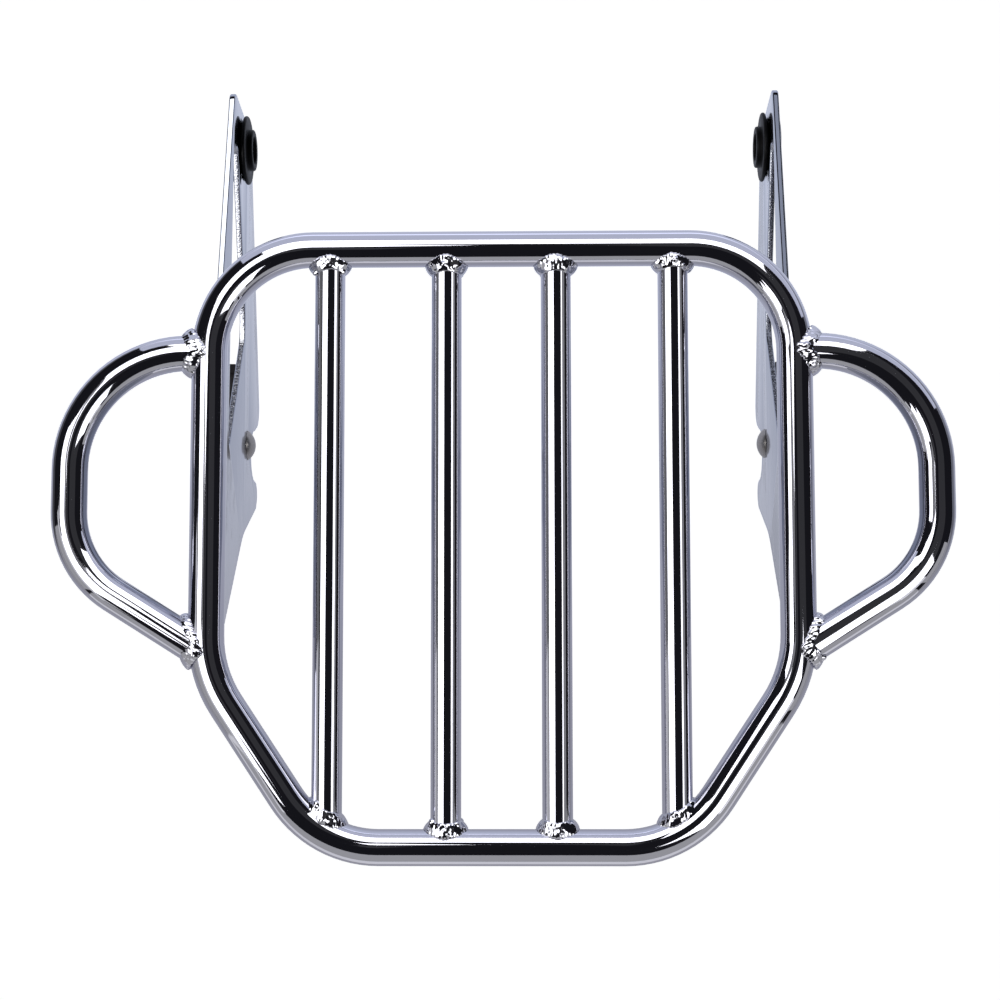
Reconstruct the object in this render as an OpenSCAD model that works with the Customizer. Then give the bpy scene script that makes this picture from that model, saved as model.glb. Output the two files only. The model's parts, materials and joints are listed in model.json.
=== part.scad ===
// Detachable luggage rack for a motorcycle: a bent tube deck with four bars and two grab
// handles, carried on two side plates that dock on the machine. The front of each plate
// slips on a stud through a rubber grommet, and its rear notch sits on a second stud that
// a pivoted latch holds.
// Millimetres. X runs across the rack, Y points forward, Z up. The origin is the midpoint
// between the two front grommets, on their common axis.

/* [Tubes] */
// Outside diameter of the deck tube
tube_d = 19; // [17:0.5:21]
// Wall of the deck tube and of the grab handles
tube_wall = 2; // [1.5:0.25:3]
// Outside diameter of the grab handle tube
handle_d = 19; // [16:0.5:20]
// Outside diameter of the deck bars
bar_d = 16; // [13:0.5:17]
// Wall of the deck bars
bar_wall = 1.5; // [1:0.25:2.5]
// Radius of the vent hole drilled behind each bar end and handle end
vent_r = 3; // [2:0.5:4]

/* [Deck tube] */
// Distance between the centre lines of the two side runs
deck_w = 310; // [296:2:330]
// Distance from the front rail to the rear rail, between centre lines
deck_len = 315; // [305:1:330]
// Distance from the front rail back to where each side run starts to turn in
side_len = 225; // [220:1:232]
// Distance between the two corners of the rear rail
rear_w = 190; // [180:2:200]
// Bend radius of the front corners
front_bend_r = 55; // [45:1:60]
// Bend radius where the side runs turn in
side_bend_r = 66; // [50:1:70]
// Bend radius of the rear corners
rear_bend_r = 58; // [45:1:60]

/* [Deck bars] */
// Distance from the middle of the deck to each inner bar
inner_bar_x = 29; // [22:1:38]
// Distance from the middle of the deck to each outer bar
outer_bar_x = 91; // [84:1:94]

/* [Grab handles] */
// Distance from the middle of the deck to the handle's outer run
handle_reach = 228.5; // [222:0.5:240]
// Distance from the front rail back to the handle's front leg
handle_front = 55.5; // [55:0.5:70]
// Length of the handle between its two corners
handle_len = 113; // [104:1:120]
// How far the handle's rear leg runs back on its way to the deck
handle_slope = 46; // [36:1:50]
// Bend radius of the handle's front corner
handle_front_r = 62; // [50:1:64]
// Bend radius of the handle's rear corner
handle_rear_r = 52; // [40:1:56]

/* [Side plates] */
// Thickness of the side plates
plate_t = 3.5; // [3:0.25:5]
// Height of the deck's centre plane above the docking axis
deck_rise = 98; // [90:1:108]
// Distance from the docking axis back to the front rail
rail_setback = 82; // [78:1:88]
// How far the plate reaches ahead of the docking axis
nose_reach = 26; // [24:0.5:32]
// Height of the plate's front tip above the docking axis
nose_rise = 33; // [29:0.5:38]
// Depth of the plate's chin below the docking axis
chin_drop = 29.5; // [27:0.5:36]
// Distance from the docking axis back to where the top edge meets the deck tube
shoulder_back = 163; // [155:1:172]
// Distance from the start of the side bend forward to the plate's rear edge
heel_gap = 0; // [0:1:12]
// Height of the plate's rear edge
heel_h = 32; // [26:1:40]
// Distance from the nose back to the chin's corner
chin_setback = 9; // [6:0.5:12]
// Distance from the rear docking stud forward to the foot of the front lobe
front_lobe_reach = 22.5; // [20:0.5:25]
// Depth of the front lobe below the rear docking stud
front_lobe_depth = 20; // [17:0.5:22]
// Distance from the rear docking stud back to the foot of the rear lobe
rear_lobe_reach = 16.5; // [15.5:0.5:18.5]
// Depth of the rear lobe below the rear docking stud
rear_lobe_depth = 19; // [16:0.5:21]
// Distance from the rear docking stud back to the rear lobe's outer corner
rear_lobe_back = 32; // [29:0.5:35]
// Depth of that corner below the rear docking stud
rear_lobe_drop = 7.5; // [5:0.5:10]
// Distance from the rear docking stud back to the bend in the plate's rear edge
valley_back = 52; // [48:1:56]
// Height of that bend above the rear docking stud
valley_rise = 43; // [39:1:47]

/* [Side plate corners] */
// Corner radius at the plate's front tip
nose_tip_r = 7; // [5:0.5:10]
// Corner radius where the top edge meets the deck tube
shoulder_r = 30; // [20:1:40]
// Corner radius at the upper end of the rear edge
heel_top_r = 2; // [1:0.5:4]
// Corner radius at the lower end of the rear edge
heel_r = 10; // [6:1:14]
// Radius of the long bend in the rear edge
valley_r = 60; // [50:2:70]
// Radius of the rear lobe's outer corner
lobe_corner_r = 3; // [2:0.5:5]
// Radius of the rear lobe's foot
rear_lobe_r = 8; // [6:0.5:9]
// Radius of the front lobe's foot
front_lobe_r = 13; // [10:0.5:14]
// Radius of the two lips of the docking notch
notch_lip_r = 0.8; // [0.5:0.1:1.2]
// Corner radius at the chin
chin_r = 25; // [20:1:28]

/* [Plate window] */
// Distance from the docking axis back to the front end of the window
window_front = 4; // [2:0.5:8]
// Distance from the docking axis back to the rear point of the window
window_rear = 186; // [178:1:190]
// Height of the window's front end above the docking axis, at its top
window_top = 35; // [32:0.5:38]
// Height of the window's rear point above the docking axis
window_rear_rise = 43; // [38:0.5:48]
// Distance from the docking axis back to the lowest corner of the window
window_low_back = 105; // [98:1:112]
// Depth of the window's lowest corner below the docking axis
window_low_drop = 17; // [10:0.5:21]
// Height of the window's blunt front end
window_front_h = 14; // [13.5:0.5:18]
// Corner radius of the window's front end
window_front_r = 6.5; // [5:0.25:6.5]
// Corner radius of the window's rear point
window_rear_r = 3; // [2:0.5:5]
// Corner radius of the window's lowest corner
window_low_r = 25; // [18:1:30]

/* [Docking] */
// Radius of the bore in the rubber grommets
dock_bore_r = 8; // [6:0.25:9]
// Radius of the grommet's neck, which fills the hole in the plate
grommet_neck_r = 13; // [11:0.25:15]
// Radius of the grommet's flanges
grommet_flange_r = 20; // [17:0.25:20.5]
// Thickness of each flange of the grommet
grommet_flange_t = 3.3; // [2.5:0.1:4.5]
// Radius of the raised lip round the grommet's bore
grommet_lip_r = 12; // [10.5:0.25:14]
// Height of the raised lip
grommet_lip_h = 3.2; // [2:0.1:4.5]
// Radius of the grommet's outer flange, which is pressed through the plate
grommet_back_r = 18.5; // [16:0.25:20]
// Distance from the docking axis back to the rear docking stud
stud_back = 174; // [172:0.5:178]
// Depth of the rear docking stud below the docking axis
stud_drop = 58; // [55:0.5:61]
// Radius of the notch that sits on the rear docking stud
notch_r = 15; // [12:0.25:15.5]

/* [Latch] */
// Distance from the docking axis back to the latch pivot
pivot_back = 171; // [169:0.5:173]
// Depth of the latch pivot below the docking axis
pivot_drop = 30; // [28:0.5:32]
// Radius of the pivot's shank
pivot_r = 5; // [4:0.25:6]
// Radius of the pivot's domed head
pivot_head_r = 8.75; // [7.5:0.25:10]
// Height of the pivot's domed head
pivot_head_h = 4.4; // [3:0.1:5]
// Radius of the pivot's peened head at its foot
peen_r = 8; // [7:0.25:9]
// Radius of the flat top of the peened head
peen_top_r = 6.5; // [5.5:0.25:7]
// Height of the peened head
peen_h = 2.5; // [1.5:0.25:3.5]
// Thickness of the latch lever
lever_t = 4.5; // [3.5:0.25:6]
// Radius of the lever's hub round the pivot
lever_hub_r = 12; // [10:0.5:14]
// Radius of the jaw that takes the neck of the rear docking stud
jaw_r = 7.5; // [6:0.25:8]
// Width of metal left round the jaw
jaw_rim = 7; // [5:0.25:7.5]
// Length of the lever from the pivot forward to its thumb tab
lever_len = 38; // [32:0.5:46]
// Rise of the lever from the pivot to the thumb tab
lever_rise = 14; // [8:0.5:20]
// Width of the lever at the thumb tab
tab_w = 15; // [11:0.5:18]
// How far the thumb tab stands out from the lever
tab_out = 8; // [5:0.5:10]
// Thickness of the thumb tab
tab_t = 5; // [3.5:0.25:6]
// Corner radius of the thumb tab's free end
tab_corner_r = 4; // [2:0.5:5]
// Thickness of the flat washer under the lever
washer_t = 1; // [0.6:0.1:1.6]
// Thickness of the cupped spring washer
spring_t = 0.8; // [0.6:0.1:1.2]
// Height of the cup in the spring washer
spring_cup = 0.7; // [0.4:0.1:1]

/* [Welds] */
// Radius of the weld beads round the bar and handle ends
bead_r = 3.6; // [2.5:0.1:4.5]
// Number of puddles in the bead round each bar end
bead_count = 12; // [10:1:14]
// Leg of the fillet welds that join the plates to the deck tube
fillet_leg = 3.5; // [2.5:0.25:4.5]
// Length of each stitch of plate weld
stitch_len = 28; // [20:1:32]

/* [Fits] */
// Gap left between parts that are welded or pressed together
seat_gap = 0.1; // [0.05:0.05:0.2]
// Radial gap of the lever on its pivot
run_gap = 0.05; // [0.03:0.01:0.1]

/* [Hidden] */
$fn = 96;
// A bent tube swells by this much at its bends, and the straight runs reach into them
bend_swell = 0.15;
bend_overlap = 0.8;
// Corner radius at the thumb tab's root
tab_root_r = 0.5;
tube_r = tube_d / 2;
handle_r = handle_d / 2;
bar_r = bar_d / 2;
side_x = deck_w / 2;
front_rail_y = -rail_setback;
rear_rail_y = front_rail_y - deck_len;
side_end_y = front_rail_y - side_len;
deck_path = [
    [side_x, front_rail_y],
    [side_x, side_end_y],
    [rear_w / 2, rear_rail_y],
    [-rear_w / 2, rear_rail_y],
    [-side_x, side_end_y],
    [-side_x, front_rail_y],
];
deck_bends = [front_bend_r, side_bend_r, rear_bend_r, rear_bend_r, side_bend_r, front_bend_r];
handle_y = front_rail_y - handle_front;
handle_end_y = handle_y - handle_len - handle_slope;
handle_path = [
    [side_x, handle_y],
    [handle_reach, handle_y],
    [handle_reach, handle_y - handle_len],
    [side_x, handle_end_y],
];
handle_bends = [0, handle_front_r, handle_rear_r, 0];
bar_places = [-outer_bar_x, -inner_bar_x, inner_bar_x, outer_bar_x];
plate_in = side_x - plate_t / 2;
plate_out = side_x + plate_t / 2;
plate_top = deck_rise - tube_r - seat_gap;
side_bend_turn = angle_of(deck_path[2] - deck_path[1]) - angle_of(deck_path[1] - deck_path[0]);
heel_y = side_end_y + side_bend_r * tan(abs(side_bend_turn) / 2) + heel_gap;
stud = [-stud_back, -stud_drop];
pivot = [-pivot_back, -pivot_drop];
jaw_swing = norm(stud - pivot);
lever_tip = pivot + [lever_len, lever_rise];
lever_in = plate_out + washer_t + 2 * seat_gap;
lever_out = lever_in + lever_t;
peen_in = lever_out + spring_t + spring_cup + seat_gap;
grommet_stack = 2 * grommet_flange_t + grommet_lip_h + plate_t + 2 * seat_gap;

// Direction of a flat vector, in degrees
function angle_of(v) = atan2(v[1], v[0]);

// Unit vector at an angle
function unit(a) = [cos(a), sin(a)];

// Turn from one leg to the next at corner i of a path, in degrees from -180 to 180
function turn_at(before, corner, after) =
    let (a = angle_of(after - corner) - angle_of(corner - before))
    a > 180 ? a - 360 : a < -180 ? a + 360 : a;

// Distance from a corner to where its bend starts
function setback(before, corner, after, r) = r * tan(abs(turn_at(before, corner, after)) / 2);

// Centre of the bend at a corner
function bend_centre(before, corner, after, r) =
    let (
        turn = turn_at(before, corner, after),
        heading = angle_of(corner - before),
        start = corner - setback(before, corner, after, r) * unit(heading)
    )
    start + r * unit(heading + (turn > 0 ? 90 : -90));

// Centre line of the rear rail at a distance across the deck
function rear_line(x) =
    let (
        c = bend_centre(deck_path[1], deck_path[2], deck_path[3], rear_bend_r),
        dx = abs(x) - c[0]
    )
    dx <= 0 ? rear_rail_y : c[1] - sqrt(rear_bend_r * rear_bend_r - dx * dx);

// Straight rod in the deck plane between two flat points
module rod(a, b, r) {
    translate([a[0], a[1], 0])
        rotate([0, 90, angle_of(b - a)])
            cylinder(r = r, h = norm(b - a));
}

// Bent rod in the deck plane that turns at one corner
module bend(before, corner, after, bend_r, r) {
    turn = turn_at(before, corner, after);
    heading = angle_of(corner - before);
    c = bend_centre(before, corner, after, bend_r);
    translate([c[0], c[1], 0])
        rotate([0, 0, turn > 0 ? heading - 90 : heading + 90 + turn])
            rotate_extrude(angle = abs(turn))
                translate([bend_r, 0])
                    circle(r = r);
}

// Where a straight run ends, a little way inside the bend that starts at a distance
function reach_in(cut) = cut > 0 ? cut - bend_overlap : 0;

// Rod of radius r along a path with a bend at every corner that has a bend radius
module bent_rod(path, bends, r, closed = false) {
    n = len(path);
    for (i = [0 : closed ? n - 1 : n - 2]) {
        a = path[i];
        b = path[(i + 1) % n];
        cut_a = bends[i] > 0 ? setback(path[(i + n - 1) % n], a, b, bends[i]) : 0;
        cut_b = bends[(i + 1) % n] > 0 ? setback(a, b, path[(i + 2) % n], bends[(i + 1) % n]) : 0;
        way = unit(angle_of(b - a));
        rod(a + reach_in(cut_a) * way, b - reach_in(cut_b) * way, r);
    }
    for (i = [0 : n - 1])
        if (bends[i] > 0)
            bend(path[(i + n - 1) % n], path[i], path[(i + 1) % n], bends[i], r + bend_swell);
}

// Flat outline through corner points, each rounded by a true arc of its own radius.
// The points run anticlockwise.
module rounded_outline(points, radii) {
    n = len(points);
    starts = [for (i = [0 : n - 1])
        let (p = points[(i + n - 1) % n], c = points[i], q = points[(i + 1) % n])
        c - setback(p, c, q, radii[i]) * unit(angle_of(c - p))];
    ends = [for (i = [0 : n - 1])
        let (p = points[(i + n - 1) % n], c = points[i], q = points[(i + 1) % n])
        c + setback(p, c, q, radii[i]) * unit(angle_of(q - c))];
    difference() {
        union() {
            polygon([for (i = [0 : n - 1]) each [starts[i], ends[i]]]);
            for (i = [0 : n - 1])
                if (corner_turn(points, i) > 0)
                    corner_cap(points, i, radii[i], starts[i], ends[i]);
        }
        for (i = [0 : n - 1])
            if (corner_turn(points, i) < 0)
                corner_cap(points, i, radii[i], starts[i], ends[i]);
    }
}

// Turn at corner i of a closed outline
function corner_turn(points, i) =
    let (n = len(points))
    turn_at(points[(i + n - 1) % n], points[i], points[(i + 1) % n]);

// Slice of a corner's circle between the chord and the arc
module corner_cap(points, i, r, start, end) {
    n = len(points);
    c = bend_centre(points[(i + n - 1) % n], points[i], points[(i + 1) % n], r);
    intersection() {
        translate(c)
            circle(r = r);
        polygon([start, points[i], end]);
    }
}

// Bar-shaped outline round two circles
module link(a, ra, b, rb) {
    way = angle_of(b - a);
    lean = acos((ra - rb) / norm(b - a));
    translate(a)
        circle(r = ra);
    translate(b)
        circle(r = rb);
    polygon([
        a + ra * unit(way - lean),
        b + rb * unit(way - lean),
        b + rb * unit(way + lean),
        a + ra * unit(way + lean),
    ]);
}

// Stands a flat shape drawn in Y and Z on the right side of the rack, from x = from
module on_side(from, thickness) {
    translate([from, 0, 0])
        rotate([90, 0, 90])
            linear_extrude(height = thickness)
                children();
}

// Stands a turned shape on an axis across the rack, with its own Z along +X
module on_cross_axis(from, at) {
    translate([from, at[0], at[1]])
        rotate([0, 90, 0])
            children();
}

// Mirrors a right-hand piece to the left
module left_side() {
    mirror([1, 0, 0])
        children();
}

// The deck's outer form, filled, which the bars, handles and beads are cut to
module deck_form(extra = 0) {
    translate([0, 0, deck_rise])
        bent_rod(deck_path, deck_bends, tube_r + extra, closed = true);
}

module deck_tube() {
    color("gainsboro")
        difference() {
            deck_form();
            translate([0, 0, deck_rise])
                bent_rod(deck_path, deck_bends, tube_r - tube_wall, closed = true);
            for (x = bar_places) {
                vent([x, front_rail_y], [x, front_rail_y - tube_d]);
                vent([x, rear_line(x)], [x, rear_line(x) + tube_d]);
            }
            for (side = [-1, 1]) {
                vent([side * side_x, handle_y], [side * handle_reach, handle_y]);
                vent([side * side_x, handle_end_y], [side * handle_reach, handle_end_y]);
            }
        }
}

// Vent hole from the deck tube's centre line towards a flat point
module vent(from, towards) {
    translate([0, 0, deck_rise])
        rod(from, from + tube_d * unit(angle_of(towards - from)), vent_r);
}

module deck_bar(x) {
    color("gainsboro")
        difference() {
            bar_rod(x, bar_r);
            bar_rod(x, bar_r - bar_wall);
            deck_form(seat_gap);
        }
}

// Rod along one deck bar, from the front rail's centre line to the rear rail's
module bar_rod(x, r) {
    translate([0, 0, deck_rise])
        rod([x, rear_line(x)], [x, front_rail_y], r);
}

// One grab handle, on the right
module grab_handle() {
    color("gainsboro")
        difference() {
            handle_rod(handle_r);
            handle_rod(handle_r - tube_wall);
            deck_form(seat_gap);
        }
}

// Rod along the right-hand grab handle's centre line
module handle_rod(r) {
    translate([0, 0, deck_rise])
        bent_rod(handle_path, handle_bends, r);
}

// One side plate, on the right
module side_plate() {
    color("silver")
        on_side(plate_in, plate_t)
            difference() {
                plate_outline();
                plate_window();
                circle(r = grommet_neck_r + seat_gap);
                translate(pivot)
                    circle(r = pivot_r + seat_gap);
                translate(stud)
                    circle(r = notch_r);
            }
}

// Edge of the side plate, with the two lobes that guide the stud into the notch
module plate_outline() {
    rounded_outline(
        [
            [nose_reach, nose_rise],
            [-shoulder_back, plate_top],
            [heel_y, plate_top],
            [heel_y, plate_top - heel_h],
            [-stud_back - valley_back, -stud_drop + valley_rise],
            [-stud_back - rear_lobe_back, -stud_drop - rear_lobe_drop],
            [-stud_back - rear_lobe_reach, -stud_drop - rear_lobe_depth],
            [-stud_back - notch_r, -stud_drop],
            [-stud_back + notch_r, -stud_drop],
            [-stud_back + front_lobe_reach, -stud_drop - front_lobe_depth],
            [nose_reach - chin_setback, -chin_drop],
        ],
        [
            nose_tip_r,
            shoulder_r,
            heel_top_r,
            heel_r,
            valley_r,
            lobe_corner_r,
            rear_lobe_r,
            notch_lip_r,
            notch_lip_r,
            front_lobe_r,
            chin_r,
        ]
    );
}

// Long three-cornered window that lightens the plate
module plate_window() {
    rounded_outline(
        [
            [-window_front, window_top],
            [-window_rear, window_rear_rise],
            [-window_low_back, -window_low_drop],
            [-window_front, window_top - window_front_h],
        ],
        [window_front_r, window_rear_r, window_low_r, window_front_r]
    );
}

// One rubber grommet, on the right: two flanges on a neck, with a lip on the inner side
module front_grommet() {
    color("#202022")
        on_cross_axis(plate_in - grommet_flange_t - grommet_lip_h - seat_gap, [0, 0])
            rotate_extrude()
                difference() {
                    grommet_section();
                    square([dock_bore_r, grommet_stack + 1]);
                }
}

// Filled half section of the grommet, from the lip outwards
module grommet_section() {
    neck_base = grommet_lip_h + grommet_flange_t;
    square([grommet_lip_r, grommet_lip_h + 1]);
    translate([0, grommet_lip_h])
        rim_section(grommet_flange_r, grommet_flange_t);
    square([grommet_neck_r, grommet_stack]);
    translate([0, neck_base + plate_t + 2 * seat_gap])
        rim_section(grommet_back_r, grommet_flange_t);
}

// Half section of a disc with a rounded rim
module rim_section(r, t) {
    square([r - t / 2, t]);
    translate([r - t / 2, t / 2])
        circle(r = t / 2);
}

// One latch lever, on the right: hub, forward arm with a thumb tab, and the jaw below
module latch_lever() {
    color("#26262b")
        union() {
            on_side(lever_in, lever_t)
                difference() {
                    union() {
                        link(pivot, lever_hub_r, lever_tip, tab_w / 2);
                        link(pivot, lever_hub_r, stud, jaw_r + jaw_rim);
                    }
                    translate(pivot)
                        circle(r = pivot_r + run_gap);
                    jaw_slot();
                }
            thumb_tab();
        }
}

// Arc-shaped slot about the pivot that lets the stud's neck in from behind
module jaw_slot() {
    translate(stud)
        circle(r = jaw_r);
    intersection() {
        translate(pivot)
            difference() {
                circle(r = jaw_swing + jaw_r);
                circle(r = jaw_swing - jaw_r);
            }
        polygon([
            pivot,
            stud + (jaw_r + 1) * unit(angle_of(stud - pivot)),
            stud - 2 * [jaw_swing, jaw_swing],
            pivot - [2 * jaw_swing, 0],
        ]);
    }
}

// Tab folded out at the front of the lever for the thumb
module thumb_tab() {
    translate([lever_in, lever_tip[0] + tab_w / 2 - tab_t, lever_tip[1]])
        rotate([-90, 0, 0])
            linear_extrude(height = tab_t)
                rounded_outline(
                    [
                        [0, -tab_w / 2],
                        [lever_t + tab_out, -tab_w / 2],
                        [lever_t + tab_out, tab_w / 2],
                        [0, tab_w / 2],
                    ],
                    [tab_root_r, tab_corner_r, tab_corner_r, tab_root_r]
                );
}

// One latch pivot, on the right: domed head inside, shank, and a peened head outside
module latch_pivot() {
    dome_r = (pivot_head_r * pivot_head_r + pivot_head_h * pivot_head_h) / (2 * pivot_head_h);
    color("#b9b3a8")
        union() {
            on_cross_axis(plate_in - seat_gap, pivot)
                cylinder(r = pivot_r, h = peen_in - plate_in + 2 * seat_gap);
            on_cross_axis(plate_in - seat_gap - pivot_head_h, pivot)
                rotate_extrude()
                    intersection() {
                        translate([0, dome_r])
                            circle(r = dome_r);
                        square([pivot_head_r, pivot_head_h]);
                    }
            on_cross_axis(peen_in, pivot)
                cylinder(r1 = peen_r, r2 = peen_top_r, h = peen_h);
        }
}

// Flat washer between the plate and the lever, on the right
module latch_washer() {
    color("silver")
        on_cross_axis(plate_out + seat_gap, pivot)
            difference() {
                cylinder(r = lever_hub_r - 1, h = washer_t);
                translate([0, 0, -1])
                    cylinder(r = pivot_r + seat_gap, h = washer_t + 2);
            }
}

// Cupped spring washer under the peened head, on the right, which holds the lever firm
module latch_spring() {
    color("#8f9196")
        on_cross_axis(lever_out + seat_gap, pivot)
            rotate_extrude()
                polygon([
                    [pivot_r + seat_gap, spring_cup - seat_gap],
                    [lever_hub_r - 2, 0],
                    [lever_hub_r - 2, spring_t - seat_gap],
                    [pivot_r + seat_gap, spring_cup + spring_t - 2 * seat_gap],
                ]);
}

// Ring of weld puddles where a tube of radius r meets the deck tube head on.
// at is the meeting point of the two centre lines, and along points up the joined tube.
module puddle_ring(at, along, r, count) {
    lie = angle_of(along);
    for (k = [0 : count - 1]) {
        a = 360 * (k + 0.5) / count;
        across = (r + bead_r / 4) * cos(a);
        up = (r + bead_r / 4) * sin(a);
        out = sqrt(max(tube_r * tube_r - up * up, 0)) + bead_r / 4;
        translate([at[0], at[1], deck_rise])
            rotate([0, 0, lie])
                translate([out, across, up * min(1, tube_r / (r + bead_r / 2))])
                    sphere(r = bead_r);
    }
}

// Beads at one end of all four bars
module bar_welds(front) {
    for (x = [inner_bar_x, outer_bar_x]) {
        bar_weld(x, front);
        left_side()
            bar_weld(x, front);
    }
}

// Bead round one end of a bar on the right
module bar_weld(x, front) {
    color("whitesmoke")
        difference() {
            puddle_ring(
                [x, front ? front_rail_y : rear_line(x)],
                [0, front ? -1 : 1],
                bar_r,
                bead_count
            );
            bar_rod(x, bar_r + seat_gap);
            deck_form(seat_gap);
        }
}

// Beads at both ends of the right-hand handle
module handle_welds() {
    color("whitesmoke")
        difference() {
            union() {
                puddle_ring([side_x, handle_y], [1, 0], handle_r, bead_count + 2);
                puddle_ring([side_x, handle_end_y], handle_path[2] - handle_path[3],
                    handle_r, bead_count + 2);
            }
            handle_rod(handle_r + seat_gap);
            deck_form(seat_gap);
        }
}

// Stitches of fillet weld between the right-hand plate and the deck tube, both sides
module plate_welds() {
    first = -shoulder_back - stitch_len;
    last = heel_y + 2;
    color("whitesmoke")
        for (y = [last, (first + last) / 2, first], side = [-1, 1])
            difference() {
                translate([side_x + side * (plate_t / 2 + seat_gap), y, plate_top])
                    rotate([-90, 0, 0])
                        cylinder(r = fillet_leg, h = stitch_len);
                translate([side_x - plate_t / 2 - seat_gap, y - 1, plate_top - 2 * fillet_leg])
                    cube([plate_t + 2 * seat_gap, stitch_len + 2, 4 * fillet_leg]);
                deck_form(seat_gap);
            }
}

deck_tube();
deck_bar(bar_places[0]);  // deck_bar_1
deck_bar(bar_places[1]);  // deck_bar_2
deck_bar(bar_places[2]);  // deck_bar_3
deck_bar(bar_places[3]);  // deck_bar_4
left_side() grab_handle();  // grab_handle_left
grab_handle();  // grab_handle_right
left_side() side_plate();  // side_plate_left
side_plate();  // side_plate_right
left_side() front_grommet();  // front_grommet_left
front_grommet();  // front_grommet_right
left_side() latch_lever();  // latch_lever_left
latch_lever();  // latch_lever_right
left_side() latch_pivot();  // latch_pivot_left
latch_pivot();  // latch_pivot_right
left_side() latch_washer();  // latch_washer_left
latch_washer();  // latch_washer_right
left_side() latch_spring();  // latch_spring_left
latch_spring();  // latch_spring_right
bar_welds(true);  // bar_welds_front
bar_welds(false);  // bar_welds_rear
left_side() handle_welds();  // handle_welds_left
handle_welds();  // handle_welds_right
left_side() plate_welds();  // plate_welds_left
plate_welds();  // plate_welds_right
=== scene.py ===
# %% [markdown]
# # A chromed luggage rack, piece by piece
#
# The real rack is bent from steel tube, welded to two cut plates and then chromed. This lesson
# dresses its CAD model for a picture. The CAD model comes in as a fixed frame, in metres, with
# X to the rack's right, Y forward and Z up, and every new piece is made in that same frame.

# %% Load the frame
import json
import math
import random

import bpy
from mathutils import Matrix, Vector

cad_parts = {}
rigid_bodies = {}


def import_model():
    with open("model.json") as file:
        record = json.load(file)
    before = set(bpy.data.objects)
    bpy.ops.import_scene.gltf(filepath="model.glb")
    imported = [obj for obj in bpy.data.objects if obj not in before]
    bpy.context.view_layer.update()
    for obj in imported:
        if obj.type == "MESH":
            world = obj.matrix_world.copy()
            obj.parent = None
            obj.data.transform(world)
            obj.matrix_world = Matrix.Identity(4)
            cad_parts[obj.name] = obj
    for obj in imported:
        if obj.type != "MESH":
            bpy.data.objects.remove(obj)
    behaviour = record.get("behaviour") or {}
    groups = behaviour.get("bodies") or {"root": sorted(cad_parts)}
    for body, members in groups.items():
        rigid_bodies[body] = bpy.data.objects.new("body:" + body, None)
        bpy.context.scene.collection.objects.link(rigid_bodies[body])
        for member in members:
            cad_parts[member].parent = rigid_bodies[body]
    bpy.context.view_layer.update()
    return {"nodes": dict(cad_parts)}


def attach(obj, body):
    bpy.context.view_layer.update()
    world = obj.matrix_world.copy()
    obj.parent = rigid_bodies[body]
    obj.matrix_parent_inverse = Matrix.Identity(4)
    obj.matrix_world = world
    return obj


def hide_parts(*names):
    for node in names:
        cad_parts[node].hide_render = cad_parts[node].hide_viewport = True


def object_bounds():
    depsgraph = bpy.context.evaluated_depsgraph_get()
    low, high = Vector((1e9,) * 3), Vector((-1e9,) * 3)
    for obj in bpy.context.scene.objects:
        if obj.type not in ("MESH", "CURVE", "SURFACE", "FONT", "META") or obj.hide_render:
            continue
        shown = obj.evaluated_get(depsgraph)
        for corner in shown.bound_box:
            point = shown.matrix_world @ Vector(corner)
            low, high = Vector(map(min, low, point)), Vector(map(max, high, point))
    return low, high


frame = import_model()
cad_nodes = frame["nodes"]

# %% [markdown]
# ## The camera
#
# The photograph was taken from above with a long lens. The camera's place was found by fitting
# a pinhole camera to the deck's outline, the handles and the plates. It comes first, so that
# every piece can be looked at as the photograph shows it.

# %% Set up the camera
MM = 0.001
camera_place = (0.0198, -0.3135, 1.1195)
camera_tilt = (0.0949, 0.020, -0.0029)
lens_mm = 70.2
sensor_mm = 36

camera_data = bpy.data.cameras.new("photo_camera")
camera_data.lens = lens_mm
camera_data.sensor_width = sensor_mm
camera = bpy.data.objects.new("photo_camera", camera_data)
camera.rotation_mode = "ZYX"
camera.location = camera_place
camera.rotation_euler = camera_tilt
bpy.context.scene.collection.objects.link(camera)
bpy.context.scene.camera = camera
print("camera", round(camera_place[2], 3), "m up, lens", lens_mm, "mm")

# %% [markdown]
# ## Finishes
#
# Chrome shows what stands round it, so its own nodes are few. A mirror metal gets a little haze
# that changes from place to place, from polishing and handling, and a very low ripple, which is
# what makes the bright streaks of a real polished tube waver. Every pattern is placed by Object
# coordinates, which don't slide when the camera moves.

# %% A helper that starts a material
def start_finish(name, colour, metallic, roughness):
    """A material with plain values on its shader, and the nodes that the patterns need."""
    finish = bpy.data.materials.new(name)
    finish.use_nodes = True
    tree = finish.node_tree
    shader = tree.nodes["Principled BSDF"]
    shader.inputs["Base Color"].default_value = (*colour, 1)
    shader.inputs["Metallic"].default_value = metallic
    shader.inputs["Roughness"].default_value = roughness
    place = tree.nodes.new("ShaderNodeTexCoord").outputs["Object"]
    return finish, tree, shader, place


def noise(tree, place, scale, detail=2.0):
    """Soft random pattern with scale lumps to the metre."""
    node = tree.nodes.new("ShaderNodeTexNoise")
    node.inputs["Scale"].default_value = scale
    node.inputs["Detail"].default_value = detail
    tree.links.new(place, node.inputs["Vector"])
    return node.outputs["Fac"]


def spread(tree, value, low, high, from_low=0.3, from_high=0.7):
    """A pattern's values stretched to run from low to high."""
    node = tree.nodes.new("ShaderNodeMapRange")
    node.inputs["From Min"].default_value = from_low
    node.inputs["From Max"].default_value = from_high
    node.inputs["To Min"].default_value = low
    node.inputs["To Max"].default_value = high
    tree.links.new(value, node.inputs["Value"])
    return node.outputs["Result"]


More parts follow.
